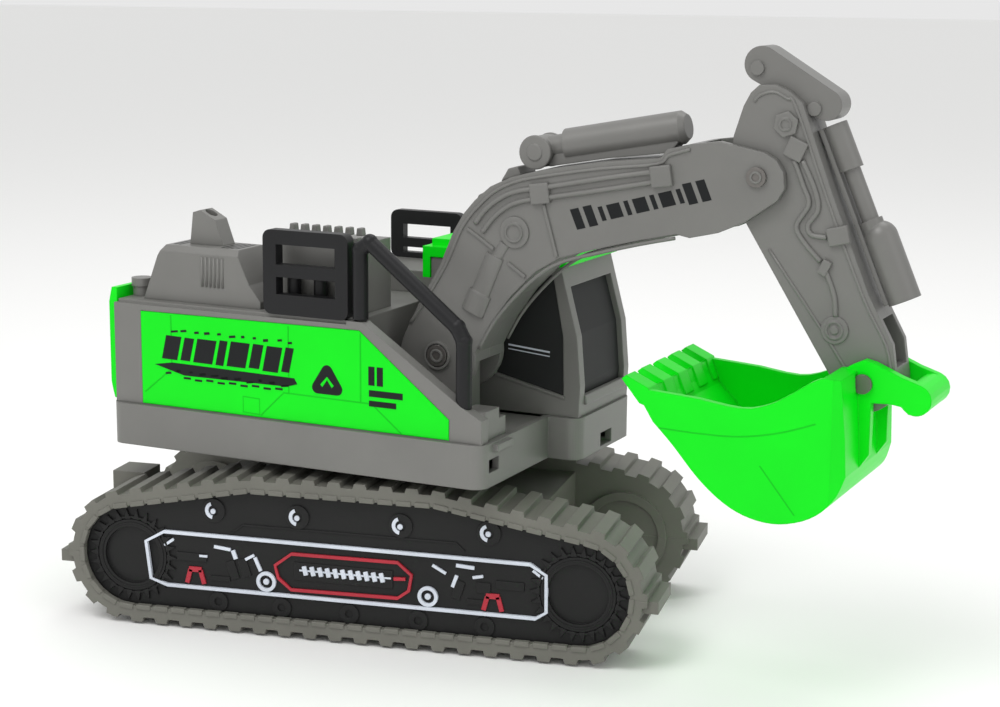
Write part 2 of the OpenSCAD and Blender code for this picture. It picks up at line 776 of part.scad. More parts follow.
module bucket_body() {
  difference() {
    slab(bucket_y[0], bucket_y[1]) polygon(bucket_side);
    // hollow, open at the top and the front
    slab(bucket_y[0] + wall, bucket_y[1] - wall)
      polygon(bucket_hollow);
    for (s = [-1, 1]) {
      y = s < 0 ? bucket_y[0] : bucket_y[1];
      translate([149, y, 70]) rotate([0, 0, 45]) cube([10, 10, 60], center = true);
    }
  }
}

module bucket() {
  tooth_step = (bucket_w - tooth_w) / (tooth_count - 1);
  near_ear = stick_y[0] - 0.4;
  far_ear = stick_y[1] + 0.4;
  color(bright_green) in_house() difference() {
    union() {
      bucket_body();
      slab(bucket_y[0], bucket_y[1])
        polygon([[91.4, 78.4], [92.4, 76.4], [96.6, 73], [94.6, 76.8], [93.4, 80.2]]);
      for (k = [0:tooth_count - 1]) {
        y = bucket_y[0] + k * tooth_step;
        slab(y, y + tooth_w) polygon([[86.2, 82.4], [87.4, 83.4], [93.6, 80.6], [96, 75], [91.2, 76.4]]);
      }
      slab(near_ear - ear_t, near_ear) polygon(ear_side);
      slab(far_ear, far_ear + ear_t) polygon(ear_side);
      slab(near_ear - ear_t, far_ear + ear_t) polygon(handle_side);
    }
    bar_y(bucket_pivot, small_pin_r, near_ear - 4, far_ear + 4);
    // room for the round end of the stick and for the pin heads
    bar_y(bucket_pivot, 8.5, near_ear, far_ear);
    bar_y(bucket_pivot, 2.9, near_ear - ear_t - 1.2, near_ear - ear_t);
    bar_y(bucket_pivot, 2.9, far_ear + ear_t, far_ear + ear_t + 1.2);
  }
}

module bucket_pin() {
  pin_bolt(bucket_pivot, small_pin_r, 2.5, stick_y[0] - 0.4 - ear_t, stick_y[1] + 0.4 + ear_t);
}

undercarriage_upper();
undercarriage_lower();
side_panel_right();
side_panel_left();
chassis_screws();
front_axle();
rear_axle();
wheel_front_right();
wheel_front_left();
wheel_rear_right();
wheel_rear_left();
swivel_washer();
swivel_screw();
house_tray();
house_shell();
boom_bracket();
engine_hood();
exhaust_stack();
filler_cap();
radiator_box();
deck_knobs();
rear_deck_box();
body_panel_right();
body_panel_left();
counterweight_cover();
handrail_right_guard();
handrail_right_rail();
handrail_left_guard();
cab_frame();
cab_windscreen();
cab_panel_right();
cab_panel_left();
cab_roof();
house_screws();
boom_half_right();
boom_half_left();
arm_cylinder();
boom_pin();
boom_screws();
stick_half_right();
stick_half_left();
stick_link();
bucket_cylinder();
stick_pin();
stick_screws();
bucket();
bucket_pin();
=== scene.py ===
"""Toy tracked excavator: materials, moulded detail, paint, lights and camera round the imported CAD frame."""
import json
import math
import random

import bmesh
import bpy
from mathutils import Matrix, Vector


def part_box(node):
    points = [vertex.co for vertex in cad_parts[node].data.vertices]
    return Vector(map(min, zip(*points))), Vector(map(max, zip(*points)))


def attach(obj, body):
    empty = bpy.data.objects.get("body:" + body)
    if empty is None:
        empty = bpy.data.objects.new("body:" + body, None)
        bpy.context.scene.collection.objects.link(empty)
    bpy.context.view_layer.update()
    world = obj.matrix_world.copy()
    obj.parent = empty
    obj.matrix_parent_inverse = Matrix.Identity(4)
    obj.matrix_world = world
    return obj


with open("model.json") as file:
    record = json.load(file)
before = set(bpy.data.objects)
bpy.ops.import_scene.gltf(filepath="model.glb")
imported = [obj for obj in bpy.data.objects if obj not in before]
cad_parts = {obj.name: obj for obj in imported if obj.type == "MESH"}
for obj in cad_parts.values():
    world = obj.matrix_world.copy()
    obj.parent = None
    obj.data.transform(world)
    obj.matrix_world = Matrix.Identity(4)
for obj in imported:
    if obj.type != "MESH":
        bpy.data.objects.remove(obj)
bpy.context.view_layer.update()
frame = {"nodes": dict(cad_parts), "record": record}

MM = 0.001
random.seed(7)

# ---------- the house frame ----------

joints = {j["name"]: j for j in frame["record"]["behaviour"]["joints"]}
boom_axis = joints["boom_lift"]["axis"]
house_yaw = math.atan2(boom_axis[0], -boom_axis[1])
TRACK = Matrix.Identity(3)
HOUSE = Matrix.Rotation(house_yaw, 3, "Z")


def extent(node, turn):
    """Lowest and highest corner of a CAD node in a turned frame, in mm."""
    back = turn.transposed()
    points = [back @ v.co / MM for v in frame["nodes"][node].data.vertices]
    return (Vector([min(p[i] for p in points) for i in range(3)]),
            Vector([max(p[i] for p in points) for i in range(3)]))


def pivot(name):
    """Joint position in the house frame, as (x, z) in mm."""
    p = HOUSE.transposed() @ Vector(joints[name]["pos_m"]) / MM
    return p.x, p.z


boom_face = extent("boom_half_right", HOUSE)[0].y
boom_far = extent("boom_half_left", HOUSE)[1].y
stick_face = extent("stick_half_right", HOUSE)[0].y
stick_far = extent("stick_half_left", HOUSE)[1].y
side_face = extent("body_panel_right", HOUSE)[0].y
side_far = extent("body_panel_left", HOUSE)[1].y
hood_lo, hood_hi = extent("engine_hood", HOUSE)
cab_lo, cab_hi = extent("cab_frame", HOUSE)
track_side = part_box("undercarriage_upper")[1].y / MM
COVER_INSET = 2.0  # the side cover's flat face lies this far inside the belt's outer edge
cover_face = track_side - COVER_INSET

# ---------- materials ----------

MOTTLE_SCALE, GRAIN_SCALE = 55, 2600


def plastic(name, colour, rough=0.45, mottle=0.06, grain=0.06, edge=0.25, bevel=0.35, coat=0.0,
            specular=0.5, metal=0.0):
    """Plastic, paint or metal: faint mottling, fine grain, soft edges, and a painted highlight that lightens
    the colour along them.
    """
    mat = bpy.data.materials.new(name)
    mat.use_nodes = True
    tree = mat.node_tree
    new, link = tree.nodes.new, tree.links.new
    shader = tree.nodes["Principled BSDF"]
    place = new("ShaderNodeTexCoord")
    cloud = new("ShaderNodeTexNoise")
    cloud.inputs["Scale"].default_value = MOTTLE_SCALE
    cloud.inputs["Detail"].default_value = 4
    fine = new("ShaderNodeTexNoise")
    fine.inputs["Scale"].default_value = GRAIN_SCALE
    fine.inputs["Detail"].default_value = 2
    link(place.outputs["Object"], cloud.inputs["Vector"])
    link(place.outputs["Object"], fine.inputs["Vector"])
    tone = new("ShaderNodeValToRGB")
    tone.color_ramp.elements[0].position = 0.3
    tone.color_ramp.elements[1].position = 0.7
    tone.color_ramp.elements[0].color = [c * (1 - mottle) for c in colour] + [1]
    tone.color_ramp.elements[1].color = [min(1, c * (1 + mottle)) for c in colour] + [1]
    link(cloud.outputs["Fac"], tone.inputs["Fac"])
    soft = new("ShaderNodeBevel")
    soft.samples = 3
    soft.inputs["Radius"].default_value = bevel * MM
    flat = new("ShaderNodeNewGeometry")
    dot = new("ShaderNodeVectorMath")
    dot.operation = "DOT_PRODUCT"
    link(soft.outputs["Normal"], dot.inputs[0])
    link(flat.outputs["Normal"], dot.inputs[1])
    # painted highlight: the colour is lightened along the edges, where the bevelled normal turns from the
    # flat one; edge sets how much
    edge_highlight_mask = new("ShaderNodeMapRange")
    edge_highlight_mask.inputs["From Min"].default_value = 0.995
    edge_highlight_mask.inputs["From Max"].default_value = 0.8
    edge_highlight_mask.inputs["To Max"].default_value = edge
    link(dot.outputs["Value"], edge_highlight_mask.inputs["Value"])
    edge_highlight_mix = new("ShaderNodeMix")
    edge_highlight_mix.data_type = "RGBA"
    edge_highlight_mix.inputs["B"].default_value = [min(1, 0.03 + c * 1.7) for c in colour] + [1]
    link(edge_highlight_mask.outputs["Result"], edge_highlight_mix.inputs["Factor"])
    link(tone.outputs["Color"], edge_highlight_mix.inputs["A"])
    link(edge_highlight_mix.outputs["Result"], shader.inputs["Base Color"])
    gloss = new("ShaderNodeMapRange")
    gloss.inputs["To Min"].default_value = rough - 0.06
    gloss.inputs["To Max"].default_value = rough + 0.08
    link(cloud.outputs["Fac"], gloss.inputs["Value"])
    link(gloss.outputs["Result"], shader.inputs["Roughness"])
    bump = new("ShaderNodeBump")
    bump.inputs["Strength"].default_value = grain
    bump.inputs["Distance"].default_value = 0.1 * MM
    link(fine.outputs["Fac"], bump.inputs["Height"])
    link(soft.outputs["Normal"], bump.inputs["Normal"])
    link(bump.outputs["Normal"], shader.inputs["Normal"])
    shader.inputs["Coat Weight"].default_value = coat
    shader.inputs["Coat Roughness"].default_value = 0.18
    shader.inputs["Specular IOR Level"].default_value = specular
    shader.inputs["Metallic"].default_value = metal
    return mat


GREY = plastic("grey_body", (0.18, 0.178, 0.168), 0.4, 0.05, 0.1, 0.35, 0.5, specular=0.4, metal=0.15)
ARM = plastic("grey_arm", (0.174, 0.172, 0.163), 0.38, 0.05, 0.1, 0.35, 0.5, specular=0.4, metal=0.15)
BELT = plastic("grey_track", (0.152, 0.15, 0.13), 0.5, 0.09, 0.12, 0.4, 0.35, specular=0.35)
BLACK = plastic("black_moulding", (0.011, 0.011, 0.012), 0.4, 0.1, 0.1, 0.2, 0.4, specular=0.25)
PANEL = plastic("black_side_cover", (0.011, 0.011, 0.011), 0.5, 0.12, 0.2, 0.25, 0.3, specular=0.25)
GLASS = plastic("dark_window", (0.022, 0.023, 0.023), 0.5, 0.05, 0.05, 0.1, 0.25, specular=0.15)
GREEN = plastic("green_moulding", (0.0, 0.78, 0.008), 0.34, 0.03, 0.05, 0.16, 0.5, specular=0.2)
# painted shade: a darker green laid in strips where the grooves and seams of the green mouldings are shaded
GREEN_SHADE = plastic("green_groove_shade", (0.0, 0.56, 0.008), 0.5, 0.03, 0.05, 0.0, 0.1, specular=0.2)
INK = plastic("black_print", (0.01, 0.011, 0.012), 0.6, 0.2, 0.1, 0.0, 0.1, specular=0.2)
SILVER = plastic("silver_paint", (0.62, 0.66, 0.74), 0.4, 0.12, 0.15, 0.0, 0.15)
RED = plastic("red_paint", (0.42, 0.012, 0.03), 0.4, 0.15, 0.15, 0.0, 0.15)
STEEL = plastic("zinc_steel", (0.42, 0.41, 0.4), 0.32, 0.08, 0.1, 0.1, 0.2, metal=0.9)
PIN = plastic("dull_pin", (0.17, 0.16, 0.15), 0.36, 0.08, 0.1, 0.2, 0.3, metal=0.6)

NODE_MATERIALS = {
    BELT: ["undercarriage_upper", "undercarriage_lower"],
    PANEL: ["side_panel_right", "side_panel_left"],
    BLACK: ["wheel_front_right", "wheel_front_left", "wheel_rear_right", "wheel_rear_left", "deck_knobs",
            "handrail_right_guard", "handrail_right_rail", "handrail_left_guard"],
    GLASS: ["cab_windscreen", "cab_panel_right", "cab_panel_left"],
    GREEN: ["body_panel_right", "body_panel_left", "counterweight_cover", "cab_roof", "bucket"],
    ARM: ["boom_half_right", "boom_half_left", "arm_cylinder", "stick_half_right", "stick_half_left",
          "stick_link", "bucket_cylinder"],
    GREY: ["house_tray", "house_shell", "boom_bracket", "engine_hood", "exhaust_stack", "filler_cap",
           "radiator_box", "rear_deck_box", "cab_frame"],
    PIN: ["boom_pin", "stick_pin", "bucket_pin"],
    STEEL: ["front_axle", "rear_axle", "chassis_screws", "house_screws", "boom_screws", "stick_screws",
            "swivel_screw", "swivel_washer"],
}
for material, names in NODE_MATERIALS.items():
    for node_name in names:
        shell = frame["nodes"][node_name]
        shell.data.materials.clear()
        shell.data.materials.append(material)

# ---------- mesh helpers ----------


class Piece:
    """Collects solids in mm in a turned frame and makes one object of them."""

    def __init__(self, name, body, material, turn):
        self.name, self.body, self.material, self.turn = name, body, material, turn
        self.bm = bmesh.new()

    def prism(self, outline, y0, y1, bevel=0.0):
        """Solid between y0 and y1 with that (x, z) outline."""
        area = sum(a[0] * b[1] - b[0] * a[1] for a, b in zip(outline, outline[1:] + outline[:1]))
        outline = outline if area > 0 else outline[::-1]
        low, high = min(y0, y1), max(y0, y1)
        front = [self.bm.verts.new((x, low, z)) for x, z in outline]
        back = [self.bm.verts.new((x, high, z)) for x, z in outline]
        faces = [self.bm.faces.new(front), self.bm.faces.new(back[::-1])]
        count = len(outline)
        for i in range(count):
            j = (i + 1) % count
            faces.append(self.bm.faces.new((front[j], front[i], back[i], back[j])))
        if bevel:
            edges = list({e for f in faces for e in f.edges})
            bmesh.ops.bevel(self.bm, geom=edges, offset=bevel, segments=2, affect="EDGES", profile=0.6)

    def rod(self, path, r, y, squash=1.0, sides=12):
        """Bar along (x, z) points at that y, with closed ends; squash flattens it."""
        points = [Vector((x, y, z)) for x, z in path]
        rings = []
        for i, p in enumerate(points):
            d = (points[min(i + 1, len(points) - 1)] - points[max(i - 1, 0)]).normalized()
            side = d.cross(Vector((0, 1, 0))).normalized()
            up = side.cross(d).normalized()
            rings.append([self.bm.verts.new(p + r * (math.cos(a) * side + squash * math.sin(a) * up))
                          for a in (2 * math.pi * k / sides for k in range(sides))])
        for a, b in zip(rings, rings[1:]):
            for k in range(sides):
                self.bm.faces.new((a[k], a[(k + 1) % sides], b[(k + 1) % sides], b[k]))
        self.bm.faces.new(rings[0][::-1])
        self.bm.faces.new(rings[-1])

    def ring(self, at, r_out, r_in, y0, y1, a0=0.0, a1=360.0, steps=32):
        """Flat ring, or part of one, round an axis along Y."""
        whole = abs(a1 - a0 - 360) < 1e-6
        profile = [(r_in, y0), (r_out, y0), (r_out, y1), (r_in, y1)]
        rows = []
        for k in range(steps + (0 if whole else 1)):
            a = math.radians(a0 + (a1 - a0) * k / steps)
            rows.append([self.bm.verts.new((at[0] + r * math.cos(a), y, at[1] + r * math.sin(a)))
                         for r, y in profile])
        pairs = list(zip(rows, rows[1:])) + ([(rows[-1], rows[0])] if whole else [])
        for a, b in pairs:
            for k in range(4):
                self.bm.faces.new((a[k], a[(k + 1) % 4], b[(k + 1) % 4], b[k]))
        if not whole:
            self.bm.faces.new(rows[0][::-1])
            self.bm.faces.new(rows[-1])

    def disc(self, at, r, y0, y1, bevel=0.0, steps=32):
        """Round plate with its axis along Y."""
        self.prism([polar(at, r, 360 * k / steps) for k in range(steps)], y0, y1, bevel)

    def strip(self, path, width, y0, y1, closed=False):
        """Flat band of constant width along a polyline."""
        count = len(path)
        sides = []
        for i, p in enumerate(path):
            before = path[i - 1] if i or closed else p
            after = path[(i + 1) % count] if i < count - 1 or closed else p
            d = Vector((after[0] - before[0], after[1] - before[1])).normalized()
            n = Vector((-d.y, d.x)) * width / 2
            sides.append(((p[0] + n.x, p[1] + n.y), (p[0] - n.x, p[1] - n.y)))
        last = count if closed else count - 1
        for i in range(last):
            a, b = sides[i], sides[(i + 1) % count]
            self.prism([a[0], a[1], b[1], b[0]], y0, y1)

    def done(self, smooth=False):
        """Turns the solids into place, makes the object and gives it its material and its body."""
        bmesh.ops.recalc_face_normals(self.bm, faces=self.bm.faces)
        for v in self.bm.verts:
            v.co = self.turn @ v.co * MM
        mesh = bpy.data.meshes.new(self.name)
        self.bm.to_mesh(mesh)
        self.bm.free()
        for f in mesh.polygons:
            f.use_smooth = smooth
        mesh.materials.append(self.material)
        obj = bpy.data.objects.new(self.name, mesh)
        bpy.context.scene.collection.objects.link(obj)
        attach(obj, self.body)


def polar(at, r, degrees):
    """Point at that distance and angle from a centre."""
    a = math.radians(degrees)
    return at[0] + r * math.cos(a), at[1] + r * math.sin(a)


def turned(at, w, h, degrees):
    """Corners of a rectangle w by h round a centre, turned by an angle."""
    c, s = math.cos(math.radians(degrees)), math.sin(math.radians(degrees))
    return [(at[0] + x * c - z * s, at[1] + x * s + z * c)
            for x, z in ((-w / 2, -h / 2), (w / 2, -h / 2), (w / 2, h / 2), (-w / 2, h / 2))]


def smooth_path(points, steps=6):
    """Catmull-Rom curve through points."""
    pts = [Vector(p) for p in points]
    out = []
    for i in range(len(pts) - 1):
        p0, p1, p2, p3 = pts[max(i - 1, 0)], pts[i], pts[i + 1], pts[min(i + 2, len(pts) - 1)]
        for k in range(steps):
            t = k / steps
            out.append(0.5 * ((2 * p1) + (p2 - p0) * t + (2 * p0 - 5 * p1 + 4 * p2 - p3) * t ** 2
                              + (3 * p1 - p0 - 3 * p2 + p3) * t ** 3))
    return [tuple(p) for p in out + [pts[-1]]]


def both_faces(near, far):
    """(face, outward direction, name ending) for the right and left faces of an arm part."""
    return ((near, -1, "right"), (far, 1, "left"))


# ---------- boom ----------

STRIPE_START, STRIPE_SLOPE, STRIPE_GAP = (66.5, 117.6), 0.27, 1.2
STRIPE_WIDTHS = [2.4, 2.4, 1.2, 3.6, 1.2, 3.6, 1.2, 3.6, 1.2, 2.4, 2.4]
TALL_STRIPES, TALL, SHORT, SHORT_LIFT, TALL_LEAN = (0, 1, 9, 10), 5.2, 3.6, 0.8, 2.2
KNUCKLE = (52.2, 136.9)
BOOM_HOSE = [
    [(36.6, 117.4), (40, 121.6), (45, 125.2), (50, 127), (55.8, 128), (75, 131.8), (89, 134.2)],
    [(38.8, 115.2), (41.8, 119), (46, 122.4), (50.4, 124.2), (55.8, 125.2), (75, 128.8), (89, 131.6)],
]
BOOM_EDGES = [
    [(16.6, 88.4), (21.4, 95.2), (27.6, 105.4), (31.8, 114.6), (34.4, 118.6), (37.6, 122.2), (42, 126.1),
     (47.8, 129), (55.8, 131), (72.8, 134), (88.6, 136), (91.8, 138.4), (97.6, 140.2)],
    [(37.8, 83), (42.2, 90.6), (48, 97.6), (55, 104.3), (62, 108.6), (73.2, 112), (84.4, 115), (94, 117.2)],
]


def boom_detail(face, out, side):
    """Relief, hoses, ridge lines and stripes on one face of the boom."""
    mould = Piece("boom_relief_" + side, "boom", ARM, HOUSE)
    y0, y1 = face - out * 0.4, face + out * 0.55
    lower, tip = pivot("boom_lift"), pivot("stick_swing")
    mould.ring(lower, 4.0, 3.3, y0, face + out * 0.8)
    mould.ring(lower, 1.9, 1.2, face + out * 0.8, face + out * 1.15)
    mould.ring(tip, 1.6, 1.0, face + out * 0.8, face + out * 1.15)
    mould.disc((48.3, 115.7), 4.3, y0, y1, 0.2)
    mould.ring((48.3, 115.7), 2.7, 2.1, y0, face + out * 1.0)
    for at, w, h, a in (((55.8, 126.6), 5.6, 5.6, 8), ((90, 133), 5.8, 5.6, 9)):
        mould.prism(turned(at, w, h, a), y0, face + out * 1.3, 0.5)
    for p, q in (((34.2, 115.9), (42.2, 110.8)), ((46.5, 107.3), (51.6, 103.9)),
                 ((56.8, 123.6), (60.8, 110))):
        mould.strip([p, q], 0.9, y0, y1)
    # imitation lift cylinder cast into the side
    for path, r in (([(35.8, 93), (38.2, 98.6)], 3.5), ([(37.6, 97), (42.6, 109)], 2.7),
                    ([(42, 107), (45.4, 112.4)], 1.5)):
        mould.rod(path, r, face, 0.42, 20)
    mould.done()
    hoses = Piece("boom_hoses_" + side, "boom", ARM, HOUSE)
    for path in BOOM_HOSE:
        hoses.rod(smooth_path(path), 0.75, face + out * 0.25)
    for path in BOOM_EDGES:
        hoses.rod(smooth_path(path, 4), 0.5, face + out * 0.05, sides=8)
    hoses.done(True)
    # slanted bars in place of a printed word, rising along the boom
    stripes = Piece("boom_stripes_" + side, "boom", INK, HOUSE)
    x, z = STRIPE_START
    for k, width in enumerate(STRIPE_WIDTHS):
        tall, lift = (TALL, 0) if k in TALL_STRIPES else (SHORT, SHORT_LIFT)
        lean = TALL_LEAN * tall / TALL
        low = z + lift + STRIPE_SLOPE * (x - STRIPE_START[0])
        far_low = low + STRIPE_SLOPE * width
        stripes.prism([(x, low), (x + width, far_low), (x + width - lean, far_low + tall),
                       (x - lean, low + tall)], face, face + out * 0.06)
        x += width + STRIPE_GAP
    stripes.done()


for face, out, side in both_faces(boom_face, boom_far):
    boom_detail(face, out, side)

# knuckle discs and clamps of the cylinder on top of the boom
top = Piece("boom_top_fittings", "boom", ARM, HOUSE)
mid_y = (boom_face + boom_far) / 2
for y in (mid_y - 5.4, mid_y + 4.4):
    top.disc(KNUCKLE, 4.6, y, y + 1.0, 0.3)
    top.disc(KNUCKLE, 2.2, y - 0.3, y + 1.3, 0.2)
top.prism([(42, 128.6), (44.2, 132.2), (47, 133), (48, 130.6)], mid_y - 5, mid_y + 5, 0.4)
top.prism([(33.6, 121), (35.4, 124.6), (39.4, 126.6), (38, 123.4)], mid_y - 5, mid_y + 5, 0.4)
top.done()

# ---------- stick ----------

STICK_HOSE = [
    [(124.4, 138.6), (127, 132.4), (128.6, 127.8), (125.6, 122.4), (127.4, 118.6), (132.2, 113.6)],
    [(126.6, 138.6), (130, 131.6), (131, 126.6), (128.6, 122.6), (129.6, 120.2), (133.6, 119.8)],
    [(133, 112.6), (136, 105.4), (136.6, 100)],
]
# the ridge lines start clear of the boom's fork, which runs close outside the stick
STICK_EDGES = [
    [(113.4, 152.8), (114.8, 154.4), (118.4, 155.4), (122, 153.8), (124.4, 151.6), (133, 129.8),
     (143.4, 105.4), (149.8, 93.6), (151.4, 86)],
    [(118.6, 115.7), (139.2, 87.6), (140.2, 80.6)],
]


def stick_detail(face, out, side):
    """Relief, hoses and ridge lines on one face of the stick."""
    mould = Piece("stick_relief_" + side, "stick", ARM, HOUSE)
    y0, y1 = face - out * 0.4, face + out * 0.5
    nut, boss = (122, 147.5), (136.5, 96.5)
    mould.prism([polar(nut, 3.4, 60 * k + 20) for k in range(6)], y0, face + out * 0.9, 0.25)
    mould.ring(nut, 1.7, 1.2, y0, face + out * 1.25, steps=20)
    mould.prism(turned((124.8, 141.4), 5, 5.2, -24), y0, face + out * 1.2, 0.4)
    mould.prism(turned((136.6, 120.4), 5.6, 4.6, 14), y0, face + out * 1.2, 0.4)
    mould.prism(turned((133.4, 112.2), 2.4, 4, -26), y0, face + out * 1.1, 0.3)
    mould.disc(boss, 3.6, y0, y1, 0.2)
    mould.ring(boss, 2.4, 1.8, y0, face + out * 0.8)
    mould.disc(boss, 1.1, y0, face + out * 0.8, 0.2, 16)
    mould.done()
    hoses = Piece("stick_hoses_" + side, "stick", ARM, HOUSE)
    for path in STICK_HOSE:
        hoses.rod(smooth_path(path), 0.7, face + out * 0.2)
    for path in STICK_EDGES:
        hoses.rod(smooth_path(path, 4), 0.45, face, sides=8)
    hoses.done(True)


for face, out, side in both_faces(stick_face, stick_far):
    stick_detail(face, out, side)

# ---------- bucket ----------

bucket_lo, bucket_hi = extent("bucket", HOUSE)
for face, out, side in both_faces(bucket_lo.y, bucket_hi.y):
    # painted shade: darker green strips along the bucket side's rim seam and crease
    seam_shade = Piece("bucket_seam_shade_" + side, "bucket", GREEN_SHADE, HOUSE)
    rim = smooth_path([(96.6, 70.6), (107.8, 70.3), (118.4, 70.7), (128.7, 72.8), (137.8, 76)])
    seam_shade.strip(rim, 0.35, face, face + out * 0.05)
    seam_shade.strip([(123.8, 63.8), (133.2, 52.2)], 0.3, face, face + out * 0.05)
    seam_shade.done()
ribs = Piece("bucket_floor_ribs", "bucket", GREEN, HOUSE)
for x, z in ((134.4, 57.2), (137.4, 59.4)):
    ribs.prism(turned((x, z), 1.0, 1.6, 45), bucket_lo.y + 5, bucket_hi.y - 5, 0.3)
ribs.done()

# ---------- tracks ----------

HALF_SPAN, SPROCKET_Z, CARRIER_Z = 65.0, 20.0, 26.9
ROLLERS = [(-HALF_SPAN, SPROCKET_Z), (HALF_SPAN, SPROCKET_Z), (24.0, CARRIER_Z), (-28.0, CARRIER_Z)]
SPROCKETS = ROLLERS[:2]
SPROCKET_TEETH, TOOTH_HALF_ANGLE = 26, 5.2
BELT_IN, LINK_PITCH = 14.6, 5.3
SPRING_Z = 19.8


def run_angle(i):
    """Outward angle of the belt's straight run from roller i to the next."""
    p, q = ROLLERS[i % 4], ROLLERS[(i + 1) % 4]
    return math.atan2(q[1] - p[1], q[0] - p[0]) - math.pi / 2


def belt_points(r, step):
    """Points and outward angles every step mm round the belt."""
    legs = []
    for i in range(4):
        a0 = run_angle(i - 1)
        turn = (run_angle(i) - a0) % (2 * math.pi)
        q = ROLLERS[(i + 1) % 4]
        legs.append((ROLLERS[i], a0, turn, math.dist(ROLLERS[i], q)))
    total = sum(turn * r + run for _, _, turn, run in legs)
    count = round(total / step)
    out = []
    for k in range(count):
        s = total * k / count
        for c, a0, turn, run in legs:
            if s <= turn * r + run + 1e-9:
                a = a0 + min(s / r, turn)
                on = max(0.0, s - turn * r)
                out.append((c[0] + r * math.cos(a) - on * math.sin(a),
                            c[1] + r * math.sin(a) + on * math.cos(a), a))
                break
            s -= turn * r + run
    return out


FRAME_LINE = [(-60.7, 24.5), (-55.1, 27.7), (51.7, 27.3), (56.2, 24.6), (56.3, 14.2), (53.3, 12.2),
              (-54.5, 12.1), (-59.4, 13.7)]
RED_LINE = [(-21.8, 20.6), (-16.9, 24.3), (14.1, 24.5), (18.1, 21.2), (17.3, 16.7), (14.1, 14.3),
            (-17.1, 13.9), (-20.9, 17)]


def track_detail(out, side):
    """Belt links, and the cover's teeth, relief, silver and red paint, on one track."""
    face = out * cover_face
    edge = out * track_side
    links = Piece("belt_links_" + side, "undercarriage", BELT, TRACK)
    for x, z, a in belt_points(BELT_IN + 0.3, LINK_PITCH):
        links.prism(turned((x, z), 1.5, 4.3, math.degrees(a)), edge - out * 1.6, edge + out * 0.35, 0.3)
    links.done()
    teeth = Piece("sprocket_teeth_" + side, "undercarriage", PANEL, TRACK)
    y0, y1 = face - out * 0.2, face + out * 0.7
    for c in SPROCKETS:
        for k in range(SPROCKET_TEETH):
            a = 360 / SPROCKET_TEETH * k
            teeth.prism([polar(c, 10.6, a - TOOTH_HALF_ANGLE), polar(c, 13.6, a),
                         polar(c, 10.6, a + TOOTH_HALF_ANGLE)], y0, y1, 0.15)
        teeth.ring(c, 11.4, 10.8, y0, face + out * 0.5, steps=48)
        teeth.ring(c, 9.6, 9.2, y0, face + out * 0.8, steps=48)
    for at, w, h, a in (((-47, 20.8), 9, 2.4, 0), ((-34.6, 18), 2.6, 5.4, 18), ((-31, 19), 2.6, 5.4, 18),
                        ((-38.4, 15.2), 6, 1.4, 0), ((31.4, 18.2), 2.6, 5.4, -18), ((46, 20.6), 8, 2.4, 0),
                        ((36.4, 15.2), 5, 1.4, 0), ((38.6, 19.4), 4, 3, 0)):
        teeth.prism(turned(at, w, h, a), y0, face + out * 0.4, 0.15)
    teeth.strip([(-35.3, 28.4), (-31.3, 31.4), (30.8, 31.4), (33.2, 29.2)], 0.5, y0, face + out * 0.3)
    teeth.done()
    silver = Piece("side_silver_" + side, "undercarriage", SILVER, TRACK)
    lift = face + out * 0.45
    silver.strip(FRAME_LINE, 0.95, y0, face + out * 0.85, True)
    for x in (-24.5, 22.8):
        silver.ring((x, 15.6), 2.9, 1.9, y0, face + out * 0.7)
        silver.disc((x, 15.6), 0.9, y0, face + out * 0.7, 0.2, 16)
    for x, z in ((-40, 35), (-15, 35), (15, 35), (40, 35)):
        silver.ring((x, z), 2.5, 1.5, face, face + out * 0.6, 110, 260, 12)
        silver.disc((x - 0.2, z - 0.3), 0.8, y0, lift, 0.1, 12)
    for s in (-1, 1):
        silver.strip([(s * 52.4, 25.6), (s * 55.2, 23.6)], 0.8, y0, lift)
    # the track tensioner's spring: a bar with slanted coils
    silver.strip([(-14.6, SPRING_Z), (12.2, SPRING_Z)], 0.5, y0, face + out * 0.5)
    for k in range(11):
        silver.prism(turned((-12.9 + 2.25 * k, SPRING_Z), 1.35, 2.7, 14), y0, face + out * 0.8, 0.25)
    for at, w, h, a in (((-37.6, 24.2), 5, 0.9, -6), ((-34, 22.6), 1.2, 2.6, 20), ((-27, 20.4), 1.0, 4.2, 24),
                        ((-29.4, 22.2), 3, 0.8, 30), ((26, 23.6), 4.4, 0.8, -28), ((33.4, 25), 5.2, 1.0, -4),
                        ((30.4, 20.6), 1.0, 3.6, -20), ((37, 22.4), 3, 0.8, 12),
                        ((-43.4, 21.4), 2.4, 0.7, 0)):
        silver.prism(turned(at, w, h, a), y0, lift)
    silver.done()
    red = Piece("side_red_" + side, "undercarriage", RED, TRACK)
    red.strip(RED_LINE, 0.9, y0, face + out * 0.6, True)
    for x in (-45.9, 41.2):
        for s in (-1, 1):
            red.strip([(x + s * 2.6, 13.2), (x + s * 1.5, 17.2)], 1.3, y0, lift)
        red.strip([(x - 1.9, 17.3), (x + 1.9, 17.3)], 1.5, y0, lift)
    red.strip([(13, SPRING_Z), (16.4, 20)], 0.9, y0, face + out * 0.7)
    red.done()
    seat = Piece("side_spring_seat_" + side, "undercarriage", PANEL, TRACK)
    seat.prism(turned((-1.8, 19.4), 29, 5.2, 0), y0, face + out * 0.35, 0.2)
    seat.done()


for out, side in ((-1, "right"), (1, "left")):
    track_detail(out, side)

# ---------- green side panels ----------


